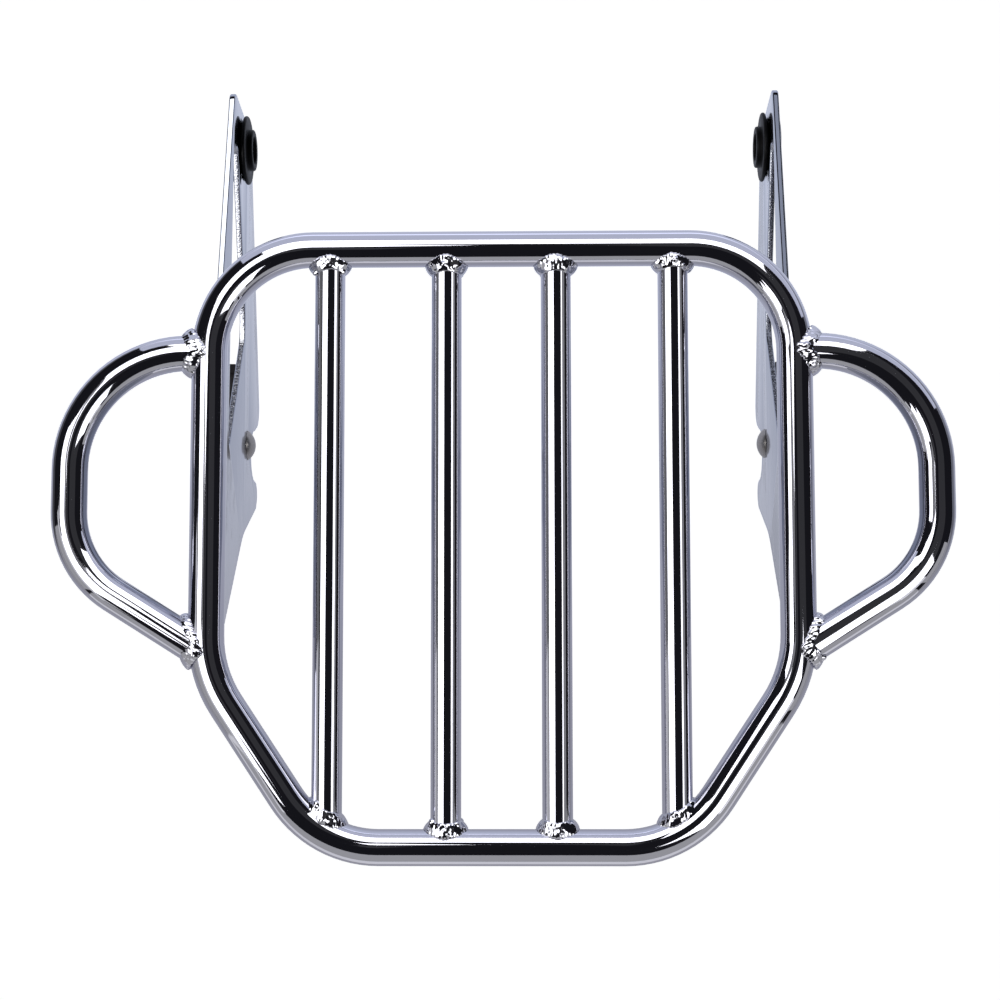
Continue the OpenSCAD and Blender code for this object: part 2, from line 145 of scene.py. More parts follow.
def stretched(tree, place, scale):
    """Object coordinates stretched or squeezed along each axis."""
    node = tree.nodes.new("ShaderNodeMapping")
    node.inputs["Scale"].default_value = scale
    tree.links.new(place, node.inputs["Vector"])
    return node.outputs["Vector"]


def bump(tree, shader, height, distance, strength=1.0, under=None):
    """Raises a pattern by distance metres. under is the bump that lies below this one."""
    node = tree.nodes.new("ShaderNodeBump")
    node.inputs["Strength"].default_value = strength
    node.inputs["Distance"].default_value = distance
    tree.links.new(height, node.inputs["Height"])
    if under:
        tree.links.new(under.outputs["Normal"], node.inputs["Normal"])
    tree.links.new(node.outputs["Normal"], shader.inputs["Normal"])
    return node


# %% Chrome, in three degrees of smoothness and over a sawn edge
haze_per_m = 9
grain_per_m = 900


def chrome(name, colour, haze, ripple_size, ripple_height, grain_height):
    """Mirror chrome. haze is its lowest and highest roughness, and the other sizes are in metres."""
    finish, tree, shader, place = start_finish(name, colour, 1.0, haze[0])
    clouds = noise(tree, place, haze_per_m, 4)
    tree.links.new(spread(tree, clouds, haze[0], haze[1]), shader.inputs["Roughness"])
    ripple = bump(tree, shader, noise(tree, place, 1 / ripple_size, 1), ripple_height)
    bump(tree, shader, noise(tree, place, grain_per_m, 3), grain_height, under=ripple)
    return finish


def sawn_chrome(name, marks_per_m=900, pits_per_m=1100, depth=0.0002):
    """Chrome over a sawn edge, whose marks run across the sheet."""
    finish, tree, shader, place = start_finish(name, (0.56, 0.57, 0.62), 1.0, 0.16)
    marks = noise(tree, stretched(tree, place, (0.1, 1, 1)), marks_per_m, 3)
    pits = noise(tree, place, pits_per_m, 2)
    under = bump(tree, shader, marks, depth)
    bump(tree, shader, pits, depth, under=under)
    return finish


tube_chrome = chrome("tube_chrome", (0.58, 0.58, 0.64), (0.025, 0.06), 0.03, 0.00006, 0.0000015)
plate_chrome = chrome("plate_chrome", (0.43, 0.455, 0.515), (0.05, 0.12), 0.016, 0.0002, 0.000003)
cut_chrome = sawn_chrome("cut_chrome")
weld_chrome = chrome("weld_chrome", (0.60, 0.60, 0.65), (0.03, 0.09), 0.005, 0.0005, 0.000004)
print("chrome:", *(finish.name for finish in (tube_chrome, plate_chrome, cut_chrome, weld_chrome)))

# %% Rubber, the black lever coat and satin steel
def rubber(name):
    """Moulded black rubber: dull, with a fine grain and a roughness that changes in patches."""
    finish, tree, shader, place = start_finish(name, (0.003, 0.003, 0.0035), 0.0, 0.5)
    shader.inputs["Specular IOR Level"].default_value = 0.15
    tree.links.new(spread(tree, noise(tree, place, 60, 4), 0.38, 0.6), shader.inputs["Roughness"])
    bump(tree, shader, noise(tree, place, 1400, 3), 0.00003)
    return finish


def lever_coat(name):
    """Semi-gloss black coat with orange peel, worn a little greyer in patches."""
    finish, tree, shader, place = start_finish(name, (0.008, 0.007, 0.009), 0.0, 0.4)
    shader.inputs["Specular IOR Level"].default_value = 0.2
    tree.links.new(spread(tree, noise(tree, place, 130, 5), 0.3, 0.55), shader.inputs["Roughness"])
    bump(tree, shader, noise(tree, place, 700, 2), 0.00004)
    return finish


def satin_steel(name, colour, scratch):
    """Turned steel: satin, with fine marks that run round the pivot's axis."""
    finish, tree, shader, place = start_finish(name, colour, 1.0, 0.3)
    marks = noise(tree, stretched(tree, place, (9, 1, 1)), scratch, 4)
    tree.links.new(spread(tree, marks, 0.2, 0.42), shader.inputs["Roughness"])
    bump(tree, shader, marks, 0.00003)
    return finish


grommet_rubber = rubber("grommet_rubber")
black_coat = lever_coat("black_coat")
pivot_satin = satin_steel("pivot_satin", (0.36, 0.34, 0.32), 500)
washer_satin = satin_steel("washer_satin", (0.6, 0.6, 0.63), 420)
print("finishes made:", len(bpy.data.materials))

# %% [markdown]
# ## Working by hand in code
#
# The frame arrives with its nodes selected, and most operators act on everything that is
# selected. So each piece starts by clearing the selection, and ends by laying its place into
# its mesh, which leaves the object itself at the origin.

# %% Helpers that pick, join and settle pieces
def pick(*pieces):
    """Selects only these pieces, and makes the first one active."""
    bpy.ops.object.select_all(action="DESELECT")
    for piece in pieces:
        piece.select_set(True)
    bpy.context.view_layer.objects.active = pieces[0]
    return pieces[0]


def edit(mode="EDIT"):
    bpy.ops.object.mode_set(mode=mode)


def use(piece, kind, **settings):
    """Adds a modifier, gives it its settings and applies it."""
    pick(piece)
    modifier = piece.modifiers.new(kind.lower(), kind)
    for key, value in settings.items():
        setattr(modifier, key, value)
    bpy.ops.object.modifier_apply(modifier=modifier.name)


def settle(piece, name, finish, body, stands_for=(), sharp=30):
    """Names a finished piece, shades it, and hands it to the frame."""
    pick(piece)
    bpy.ops.object.transform_apply(location=True, rotation=True, scale=True)
    bpy.ops.object.shade_smooth_by_angle(angle=math.radians(sharp))
    piece.name = name
    piece.data.name = name
    piece.data.materials.clear()
    piece.data.materials.append(finish)
    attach(piece, body)
    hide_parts(*stands_for)
    print(name, len(piece.data.polygons), "faces")
    return piece


# %% [markdown]
# ## The deck tube
#
# The deck is one tube, bent at six corners and closed by a butt weld. It could be a curve with
# a round section, but a tube bender works in another way, and edit mode can do just what it
# does: a ring is pushed straight along a run, which is an extrude, and swung round the centre
# of each bend, which is a spin.

# %% The deck's sizes
tube_r = 9.5 * MM
bar_r = 8 * MM
deck_z = 98 * MM
side_x = 155 * MM
front_y = -82 * MM
rear_y = -397 * MM
side_end_y = -307 * MM
rear_corner_x = 95 * MM
deck_path = [
    Vector((side_x, front_y)),
    Vector((side_x, side_end_y)),
    Vector((rear_corner_x, rear_y)),
    Vector((-rear_corner_x, rear_y)),
    Vector((-side_x, side_end_y)),
    Vector((-side_x, front_y)),
]
deck_bends = [r * MM for r in (55, 66, 58, 58, 66, 55)]
ring_points = 64
bend_step = math.radians(4)
ring_merge = 0.02 * MM
fine_merge = 0.005 * MM


# %% Bend a tube by extrude and spin
def heading(a, b):
    return math.atan2(b.y - a.y, b.x - a.x)


def unit(angle):
    return Vector((math.cos(angle), math.sin(angle)))


def bend_at(before, corner, after, bend_r):
    """Where a bend starts, where it ends, its centre and its turn."""
    way_in, way_out = heading(before, corner), heading(corner, after)
    turn = (way_out - way_in + math.pi) % (2 * math.pi) - math.pi
    setback = bend_r * math.tan(abs(turn) / 2)
    start = corner - setback * unit(way_in)
    side = math.copysign(math.pi / 2, turn)
    return start, corner + setback * unit(way_out), start + bend_r * unit(way_in + side), turn


def push(start, end):
    """Extrudes the selected ring straight from start to end."""
    run = end - start
    bpy.ops.mesh.extrude_edges_move(TRANSFORM_OT_translate={"value": (run.x, run.y, 0)})
    return end


def swing(centre, turn):
    """Spins the selected ring round a bend's centre."""
    steps = max(2, round(abs(turn) / bend_step))
    bpy.ops.mesh.spin(steps=steps, angle=-turn, center=(*centre, deck_z), axis=(0, 0, 1))


def bent_tube(path, bends, radius, closed=False):
    """A tube of that radius along a flat path at deck height."""
    count = len(path)
    at = (path[-1] + path[0]) / 2 if closed else path[0]
    first = 0 if closed else 1
    last = count if closed else count - 1
    facing = heading(at, path[first])
    bpy.ops.object.select_all(action="DESELECT")
    bpy.ops.mesh.primitive_circle_add(
        vertices=ring_points,
        radius=radius,
        location=(*at, deck_z),
        rotation=(math.pi / 2, 0, facing + math.pi / 2),
    )
    edit()
    bpy.ops.mesh.select_all(action="SELECT")
    home = at
    for i in range(first, last):
        start, end, centre, turn = bend_at(path[i - 1], path[i], path[(i + 1) % count], bends[i])
        push(at, start)
        swing(centre, turn)
        at = end
    push(at, home if closed else path[-1])
    bpy.ops.mesh.select_all(action="SELECT")
    bpy.ops.mesh.remove_doubles(threshold=ring_merge)
    if not closed:
        bpy.ops.mesh.select_all(action="DESELECT")
        bpy.ops.mesh.select_non_manifold()
        bpy.ops.mesh.fill_holes(sides=0)
        bpy.ops.mesh.select_all(action="SELECT")
    bpy.ops.mesh.normals_make_consistent(inside=False)
    edit("OBJECT")
    return bpy.context.object


deck = bent_tube(deck_path, deck_bends, tube_r, closed=True)
deck = settle(deck, "chromed_deck_tube", tube_chrome, "rack", ["deck_tube"])

# %% [markdown]
# ## Bars and grab handles
#
# Each end of a bar or handle is coped, which means cut to fit round the deck tube, with a hole
# saw of the tube's own size. A Boolean that takes the deck tube away from the bar does the same
# cut, so the bar is first made too long, from centre line to centre line.

# %% Cope an end to the deck tube
rear_bend_r = deck_bends[2]
rear_centre = bend_at(deck_path[1], deck_path[2], deck_path[3], rear_bend_r)[2]


def rear_line(x):
    """The rear rail's centre line at a distance across the deck."""
    over = abs(x) - rear_centre.x
    if over <= 0:
        return rear_y
    return rear_centre.y - math.sqrt(rear_bend_r**2 - over**2)


def rear_inward(x):
    """The way square off the rear rail, to the inside of the deck."""
    if abs(x) <= rear_centre.x:
        return Vector((0, 1))
    centre = Vector((math.copysign(rear_centre.x, x), rear_centre.y))
    return (centre - Vector((x, rear_line(x)))).normalized()


def cope(piece):
    use(piece, "BOOLEAN", operation="DIFFERENCE", object=deck, solver="EXACT")


# %% Four deck bars
bar_places = [x * MM for x in (-91, -29, 29, 91)]
for number, x in enumerate(bar_places, 1):
    bar = bent_tube([Vector((x, rear_line(x))), Vector((x, front_y))], [0, 0], bar_r)
    cope(bar)
    settle(bar, f"chromed_bar_{number}", tube_chrome, "rack", [f"deck_bar_{number}"])

# %% Two grab handles
handle_reach = 228.5 * MM
handle_y = -137.5 * MM
handle_corner_y = -250.5 * MM
handle_end_y = -296.5 * MM
handle_bends = [0, 62 * MM, 52 * MM, 0]


def handle_path(side):
    """Centre line of a handle. side is 1 on the right and -1 on the left."""
    return [
        Vector((side * side_x, handle_y)),
        Vector((side * handle_reach, handle_y)),
        Vector((side * handle_reach, handle_corner_y)),
        Vector((side * side_x, handle_end_y)),
    ]


for side, word in ((-1, "left"), (1, "right")):
    handle = bent_tube(handle_path(side), handle_bends, tube_r)
    cope(handle)
    stands_for = [f"grab_handle_{word}"]
    settle(handle, f"chromed_handle_{word}", tube_chrome, "rack", stands_for)

# %% [markdown]
# ## Weld beads
#
# A weld fills the corner between two tubes with a slope of about 45 degrees. At the sides, where
# the welder had room, it is smooth. On top and below it is crumpled, and under chrome each
# crumple is a small crooked mirror, which gives the joints their sparkle.
#
# Long flat lumps are laid side by side round the joint, each from one tube to the other, with a
# few loose drops on top. A voxel remesh melts them into one. The deck tube is already bent where
# the outer bars meet its rear, and slants past the handles' rear ends, so each joint is given the
# way square off the deck tube too. The seed is fixed, so the beads come out the same each time.

# %% Drop lumps of metal
luck = random.Random(7)
voxel = 0.45 * MM
leg = 4.6 * MM
smooth_side = 2.5 * MM
crumple_rise = 2.5 * MM
bead_sharp = 60
lumps = bpy.data.textures.new("weld_lumps", "CLOUDS")
lumps.noise_scale = 4.8 * MM
lumps.noise_depth = 1


def lump(place, size, facing=None):
    """A rounded lump. size is half its width, thickness and length."""
    bpy.ops.mesh.primitive_ico_sphere_add(subdivisions=2, radius=1, location=place)
    blob = bpy.context.object
    blob.scale = size
    if facing:
        blob.rotation_euler = facing.to_euler()
    return blob


def corner(at, along, square, joined_r, turn):
    """The corner between two tubes at one turn round the joined tube.

    The joined tube runs along, and square is the way square off the deck tube. Gives the point
    where they meet, the ways over the joined tube and over the deck tube, and the way out."""
    away, off_deck = along.to_3d(), square.to_3d()
    sideways = Vector((-along.y, along.x, 0)) * math.cos(turn)
    round_it = sideways + Vector((0, 0, 1)) * math.sin(turn)
    rise = joined_r * math.sin(turn)
    out = math.sqrt(tube_r**2 - rise**2)
    deck_normal = (off_deck * out + Vector((0, 0, rise))) / tube_r
    over_deck = (round_it - deck_normal * round_it.dot(deck_normal)).normalized()
    reach = (out - joined_r * sideways.dot(off_deck)) / away.dot(off_deck)
    place = at.to_3d() + away * reach + round_it * joined_r + Vector((0, 0, deck_z))
    return place, away, over_deck, (round_it + deck_normal).normalized()


def melt(blobs, smooth, rough):
    """Joins the lumps, melts them into one solid and crumples it above and below."""
    pick(*blobs)
    bpy.ops.object.join()
    bead = bpy.context.object
    bpy.ops.object.transform_apply(location=True, rotation=True, scale=True)
    use(bead, "REMESH", mode="VOXEL", voxel_size=voxel, use_smooth_shade=True)
    use(bead, "SMOOTH", factor=0.6, iterations=smooth)
    crumpled = bead.vertex_groups.new(name="crumpled")
    for vertex in bead.data.vertices:
        height = abs(vertex.co.z - deck_z)
        share = max(0, min(1, (height - smooth_side) / crumple_rise))
        crumpled.add([vertex.index], share, "REPLACE")
    use(
        bead,
        "DISPLACE",
        texture=lumps,
        strength=rough,
        mid_level=0.5,
        texture_coords="LOCAL",
        vertex_group="crumpled",
    )
    return bead


lump_half_width = 1.7 * MM
lump_thickness = 1.2 * MM
lump_overlap = 0.4 * MM
lump_sink = 0.8 * MM
drop_sink = 0.6 * MM


def tube_weld(at, along, square, joined_r, count=32, drops=16):
    """Bead round the end of a bar or handle. climb is 0 at the sides and 1 on top and below."""
    blobs = []
    on_tube, on_deck = leg * luck.uniform(0.95, 1.25), leg * luck.uniform(0.8, 1.05)
    for k in range(count):
        turn = 2 * math.pi * (k + 0.5) / count
        place, away, over, outward = corner(at, along, square, joined_r, turn)
        climb = abs(math.sin(turn))
        deck_leg = on_deck * (1 - 0.75 * climb**2)
        tube_leg = on_tube * (1 + 0.5 * climb**2)
        slope = away * tube_leg - over * deck_leg
        middle = place + (away * tube_leg + over * deck_leg) / 2 - outward * lump_sink * (1 - climb**3)
        long = slope.normalized()
        outward = (outward - long * outward.dot(long)).normalized()
        facing = Matrix((outward.cross(long), outward, long)).transposed()
        thickness = lump_thickness * luck.uniform(0.9, 1.15)
        size = (lump_half_width, thickness, slope.length / 2 + lump_overlap)
        blobs.append(lump(middle, size, facing))
    for k in range(drops):
        over_or_under = 1 if k % 2 else -1
        turn = math.pi * (k // 2 + luck.uniform(0.2, 0.8)) / (drops / 2) * over_or_under
        if abs(math.sin(turn)) < 0.35:
            continue
        place, away, over, outward = corner(at, along, square, joined_r, turn)
        middle = place + away * luck.uniform(0.5, 5.5) * MM - outward * drop_sink
        blobs.append(lump(middle, [luck.uniform(1.6, 2.9) * MM for _ in range(3)]))
    return melt(blobs, 3, 1.1 * MM)


# %% Beads at both ends of the bars
for name, front in (("front", True), ("rear", False)):
    beads = []
    for x in bar_places:
        if front:
            beads.append(tube_weld(Vector((x, front_y)), Vector((0, -1)), Vector((0, -1)), bar_r))
        else:
            beads.append(tube_weld(Vector((x, rear_line(x))), Vector((0, 1)), rear_inward(x), bar_r))
    pick(*beads)
    bpy.ops.object.join()
    stands_for = [f"bar_welds_{name}"]
    settle(beads[0], f"bar_beads_{name}", weld_chrome, "rack", stands_for, bead_sharp)

# %% Beads at the handles
for side, word in ((-1, "left"), (1, "right")):
    path = handle_path(side)
    square = Vector((side, 0))
    front_bead = tube_weld(path[0], square, square, tube_r)
    rear_bead = tube_weld(path[3], (path[2] - path[3]).normalized(), square, tube_r)
    pick(front_bead, rear_bead)
    bpy.ops.object.join()
    name, stands_for = f"handle_beads_{word}", [f"handle_welds_{word}"]
    settle(front_bead, name, weld_chrome, "rack", stands_for, bead_sharp)

# %% [markdown]
# ## The side plates
#
# Each plate is cut from sheet, with a long window, a hole for the grommet and a round notch
# between two lobes. A flat curve suits this best: it is drawn as the plate's outline with its
# holes, filled, and given the sheet's thickness and a small rounded edge in one go. On the real
# plate that edge comes from polishing, and it draws the bright line round the chrome.

# %% Round the corners of an outline
plate_t = 3.5 * MM
plate_edge = 0.8 * MM
stud = Vector((-174, -58)) * MM
pivot = Vector((-171, -30)) * MM
notch_r = 15 * MM
grommet_hole_r = 13.1 * MM
pivot_hole_r = 5.1 * MM
full_turn = 2 * math.pi
arc_step = math.radians(3)


def arc(centre, radius, start, turn):
    """Points along an arc that starts at one angle and turns by another."""
    steps = max(2, math.ceil(abs(turn) / arc_step))
    return [centre + radius * unit(start + turn * i / steps) for i in range(steps + 1)]


def rounded(corners):
    """Outline through (x, y, radius) corners in millimetres, each rounded by its radius."""
    points = []
    count = len(corners)
    for i, (x, y, r) in enumerate(corners):
        here = Vector((x, y)) * MM
        before = Vector(corners[i - 1][:2]) * MM
        after = Vector(corners[(i + 1) % count][:2]) * MM
        if r == 0:
            points.append(here)
            continue
        start, _, centre, turn = bend_at(before, here, after, r * MM)
        points += arc(centre, r * MM, heading(centre, start), turn)
    return points


# %% The plate's outline, window and holes
notch_start = (-189, -58)
notch_end = (-159, -58)
plate_corners = [
    (26, 33, 7),
    (-163, 88.4, 30),
    (-287, 88.4, 2),
    (-287, 56.4, 10),
    (-226, -15, 60),
    (-206, -65.5, 3),
    (-190.5, -77, 8),
    (*notch_start, 0),
    (*notch_end, 0),
    (-151.5, -78, 13),
    (17, -29.5, 25),
]
window_corners = [(-4, 35, 6.5), (-186, 43, 3), (-105, -17, 25), (-4, 21, 6.5)]
outline = []
for point in rounded(plate_corners):
    outline.append(point)
    if (point - Vector(notch_start) * MM).length < 1e-6:
        outline += arc(stud, notch_r, math.pi, -math.pi)[1:-1]
window = rounded(window_corners)
grommet_hole = arc(Vector((0, 0)), grommet_hole_r, 0, full_turn)[:-1]
pivot_hole = arc(pivot, pivot_hole_r, 0, full_turn)[:-1]
print("outline points:", len(outline), "window points:", len(window))


# %% Cut the plates
window_margin = 1 * MM
window_front, window_front_top = Vector(window_corners[0][:2]) * MM
window_rear, window_rear_top = Vector(window_corners[1][:2]) * MM
window_low = window_corners[2][1] * MM


def in_window(y, z):
    """Whether a point lies between the window's ends, its lowest corner and its top edge."""
    rise = (window_rear_top - window_front_top) / (window_front - window_rear)
    top = window_front_top + window_margin + rise * (window_front - y)
    beside = window_rear - window_margin < y < window_front + window_margin
    return beside and window_low - window_margin < z < top


def cut_plate(loops, thickness, edge):
    """A flat plate from closed outlines, with rounded edges, lying in the XY plane."""
    drawing = bpy.data.curves.new("drawing", "CURVE")
    drawing.dimensions = "2D"
    drawing.fill_mode = "BOTH"
    drawing.extrude = thickness / 2 - edge
    drawing.bevel_depth = edge
    drawing.bevel_resolution = 3
    drawing.offset = -edge
    for loop in loops:
        line = drawing.splines.new("POLY")
        line.points.add(len(loop) - 1)
        for knot, point in zip(line.points, loop):
            knot.co = (point.x, point.y, 0, 1)
        line.use_cyclic_u = True
    plate = bpy.data.objects.new("drawing", drawing)
    bpy.context.scene.collection.objects.link(plate)
    pick(plate)
    bpy.ops.object.convert(target="MESH")
    plate = bpy.context.object
    edit()
    bpy.ops.mesh.select_all(action="SELECT")
    bpy.ops.mesh.remove_doubles(threshold=fine_merge)
    bpy.ops.mesh.normals_make_consistent(inside=False)
    edit("OBJECT")
    return plate


def stand_up(piece, x):
    """Turns a flat drawing of Y and Z upright, at a distance across the rack."""
    piece.rotation_euler = (math.pi / 2, 0, math.pi / 2)
    piece.location = (x, 0, 0)
    return piece


for side, word in ((-1, "left"), (1, "right")):
    plate = cut_plate([outline, window, grommet_hole, pivot_hole], plate_t, plate_edge)
    stand_up(plate, side * side_x)
    stands_for = [f"side_plate_{word}"]
    settle(plate, f"chromed_plate_{word}", plate_chrome, "rack", stands_for)
    plate.data.materials.append(cut_chrome)
    for face in plate.data.polygons:
        if abs(face.normal.x) < 0.3 and in_window(face.center.y, face.center.z):
            face.material_index = 1

# %% [markdown]
# ## Stitches between plate and deck
#
# The plates' top edges are held to the deck tube by short stitches of weld on both sides. They
# are melted from balls as the other beads are, only in rows.

# %% Weld stitches
stitch_len = 28 * MM
plate_top = 88.4 * MM
stitch_ends = [-285 * MM, -238 * MM, -191 * MM]
stitch_ball = 2.7 * MM
stitch_stand = 0.6 * MM
stitch_drop = 0.4 * MM


def stitch(x, start, side, count=9):
    """One stitch of weld, in the corner between plate and deck tube."""
    balls = []
    for k in range(count):
        y = start + stitch_len * (k + 0.5) / count
        away = x + side * (plate_t / 2 + stitch_stand)
        size = stitch_ball * luck.uniform(0.9, 1.1)
        balls.append(lump((away, y, plate_top - stitch_drop), (size, size, size)))
    return melt(balls, 3, 0.8 * MM)


for side, word in ((-1, "left"), (1, "right")):
    stitches = [stitch(side * side_x, y, face) for y in stitch_ends for face in (-1, 1)]
    pick(*stitches)
    bpy.ops.object.join()
    name, stands_for = f"plate_stitches_{word}", [f"plate_welds_{word}"]
    settle(stitches[0], name, weld_chrome, "rack", stands_for, bead_sharp)

# %% [markdown]
# ## Turned pieces
#
# The rubber grommets and the latch pivots are round about an axis across the rack. A ring is
# pulled along that axis and made wider or narrower at each station, as a turner works along a
# profile.

# %% Turn a profile about an axis across the rack
def turned(axis_y, axis_z, side, stations, points=72, closed=False):
    """Pulls a ring through (distance from the middle, radius) stations in millimetres."""
    far, radius = stations[0]
    bpy.ops.object.select_all(action="DESELECT")
    bpy.ops.mesh.primitive_circle_add(
        vertices=points,
        radius=radius * MM,
        location=(side * far * MM, axis_y, axis_z),
        rotation=(0, math.pi / 2, 0),
    )
    edit()
    bpy.ops.mesh.select_all(action="SELECT")
    for next_far, next_radius in stations[1:]:
        step = side * (next_far - far) * MM
        bpy.ops.mesh.extrude_edges_move(TRANSFORM_OT_translate={"value": (step, 0, 0)})
        bpy.ops.transform.resize(
            value=(1, next_radius / radius, next_radius / radius),
            center_override=(side * next_far * MM, axis_y, axis_z),
        )
        far, radius = next_far, next_radius
    bpy.ops.mesh.select_all(action="SELECT")
    bpy.ops.mesh.remove_doubles(threshold=fine_merge)
    if not closed:
        bpy.ops.mesh.select_all(action="DESELECT")
        bpy.ops.mesh.select_non_manifold()
        bpy.ops.mesh.fill_holes(sides=0)
        bpy.ops.mesh.select_all(action="SELECT")
    bpy.ops.mesh.normals_make_consistent(inside=False)
    edit("OBJECT")
    return bpy.context.object


def half_round(far, radius, size, start, turn, steps=8):
    """Stations round a small arc in a profile. Angles in degrees, 0 pointing away from the axis."""
    angles = [math.radians(start + turn * i / steps) for i in range(steps + 1)]
    return [(far + size * math.sin(a), radius + size * math.cos(a)) for a in angles]


# %% Rubber grommets, with sizes in millimetres from the middle of the rack
plate_face = 153.25
gap = 0.1
flange_t = 3.3
lip = 3.2
groove = 3.7
grommet_in = plate_face - flange_t - lip - gap
flange_in = grommet_in + lip
flange_out = flange_in + flange_t
back_in = flange_out + groove
back_out = back_in + flange_t
grommet_profile = (
    half_round(grommet_in + 0.8, 8.8, 0.8, 180, 90, 5)
    + half_round(grommet_in + 1.0, 11.0, 1.0, -90, 90, 5)
    + half_round(flange_in - 0.5, 12.5, 0.5, 180, -90, 4)
    + half_round(flange_in + 1.1, 18.9, 1.1, -90, 150, 6)
    + [(flange_out - 0.1, 16.2), (flange_out, 15.8)]
    + [(flange_out, 13.3), (flange_out + 0.3, 13.0), (back_in - 0.3, 13.0), (back_in, 13.3)]
    + half_round(back_in + 1.65, 16.85, 1.65, -90, 180)
    + half_round(back_out - 0.8, 8.8, 0.8, 90, 90, 5)
)
grommet_profile.append(grommet_profile[0])
for side, word in ((-1, "left"), (1, "right")):
    grommet = turned(0, 0, side, grommet_profile, closed=True)
    stands_for = [f"front_grommet_{word}"]
    settle(grommet, f"grommet_{word}", grommet_rubber, "rack", stands_for, sharp=50)

# %% Latch pivots with a domed head
dome_r, dome_h = 8.75, 4.4
dome_ball = (dome_r**2 + dome_h**2) / (2 * dome_h)
head_in = plate_face - gap
dome_angle = math.degrees(math.asin(dome_r / dome_ball))
dome_tip = 3
dome_steps = 10
dome = []
for i in range(dome_steps + 1):
    a = math.radians(dome_tip + (dome_angle - dome_tip) * i / dome_steps)
    dome.append((head_in - dome_h + dome_ball * (1 - math.cos(a)), dome_ball * math.sin(a)))
pin_r = 5.0
peen_in = 164.05
pivot_profile = dome + [
    (head_in, dome_r - 0.1),
    (head_in, pin_r),
    (peen_in, pin_r),
    (peen_in, 8.0),
    (peen_in + 0.6, 7.9),
    (peen_in + 1.9, 7.0),
    (peen_in + 2.3, 6.3),
    (peen_in + 2.5, 5.2),
]
for side, word in ((-1, "left"), (1, "right")):
    rivet = turned(pivot.x, pivot.y, side, pivot_profile)
    stands_for = [f"latch_pivot_{word}"]
    settle(rivet, f"pivot_{word}", pivot_satin, "rack", stands_for, sharp=25)

# %% [markdown]
# ## Latch levers
#
# The lever is cut from bar, and the CAD node already has its exact shape. A copy of it is
# merged, so that its faces hang together, and a Bevel modifier rounds the edges, which the
# black coat needs to catch the light. The CAD node itself is never touched.

# %% Round the levers' edges
lever_edge = 0.5 * MM
lever_merge = 0.01 * MM
sharp_corner = math.radians(40)
same_face = math.radians(2)
for word in ("left", "right"):
    source = cad_nodes[f"latch_lever_{word}"]
    lever = bpy.data.objects.new("lever", source.data.copy())
    bpy.context.scene.collection.objects.link(lever)
    pick(lever)
    edit()
    bpy.ops.mesh.select_all(action="SELECT")
    bpy.ops.mesh.remove_doubles(threshold=lever_merge)
    bpy.ops.mesh.dissolve_limited(angle_limit=same_face)
    edit("OBJECT")
    use(lever, "BEVEL", width=lever_edge, segments=3, limit_method="ANGLE", angle_limit=sharp_corner)
    settle(lever, f"lever_{word}", black_coat, f"latch_{word}", [f"latch_lever_{word}"])

# %% Finish the washers, which stay as the CAD made them
for word in ("left", "right"):
    for kind in ("washer", "spring"):
        node = cad_nodes[f"latch_{kind}_{word}"]
        node.data.materials.clear()
        node.data.materials.append(washer_satin)
print("washers finished: 4")

# %% [markdown]
# ## Floor and backdrop
#
# The rack stands on a pale table that the photograph shows bleached to white, while the chrome
# mirrors it as a soft grey. One surface can't be both, so there are two, and Blender's ray
# visibility splits the work: the camera sees only the white table and backdrop, and the chrome
# sees only the grey table. In the photograph's chrome the table is darker and warmer behind the
# rack than before it, and dark past both sides, which the grey table's colour ramps repeat.

# %% Tables for the camera and for the chrome
middle = Vector((0, -0.24, 0.1))
table_gap = 0.5 * MM
floor_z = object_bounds()[0].z - table_gap


def seen_by(piece, camera=False, mirrors=False):
    """Says whether the camera and mirror-like surfaces see a piece of the studio."""
    piece.visible_camera = camera
    piece.visible_glossy = mirrors
    piece.visible_diffuse = False
    piece.visible_transmission = False
    piece.visible_shadow = False


def table(name, size, height, colour, glow):
    """A flat table top that glows a little, as a lit one does."""
    bpy.ops.object.select_all(action="DESELECT")
    bpy.ops.mesh.primitive_plane_add(size=size, location=(middle.x, middle.y, height))
    top = bpy.context.object
    top.name = name
    paint, tree, shader, place = start_finish(name + "_paint", colour, 0.0, 0.9)
    shader.inputs["Emission Color"].default_value = (1, 1, 1, 1)
    shader.inputs["Emission Strength"].default_value = glow
    top.data.materials.append(paint)
    return top, tree, shader, place


white_table = table("white_table", 14, floor_z, (0.8, 0.8, 0.8), 1.0)[0]
seen_by(white_table, camera=True)

grey_z = floor_z - table_gap
grey_table, tree, shader, place = table("grey_table", 6, grey_z, (0.02, 0.02, 0.02), 1.0)
seen_by(grey_table, mirrors=True)
split = tree.nodes.new("ShaderNodeSeparateXYZ")
tree.links.new(place, split.inputs["Vector"])


def ramp(tree, value, low, high, stops):
    """Colours along a value from low to high. stops are (share of the way, colour) pairs."""
    node = tree.nodes.new("ShaderNodeValToRGB")
    for _ in stops[2:]:
        node.color_ramp.elements.new(0.5)
    for element, (position, colour) in zip(node.color_ramp.elements, stops):
        element.position = position
        element.color = (*colour, 1)
    tree.links.new(spread(tree, value, 0, 1, low, high), node.inputs["Fac"])
    return node.outputs["Color"]


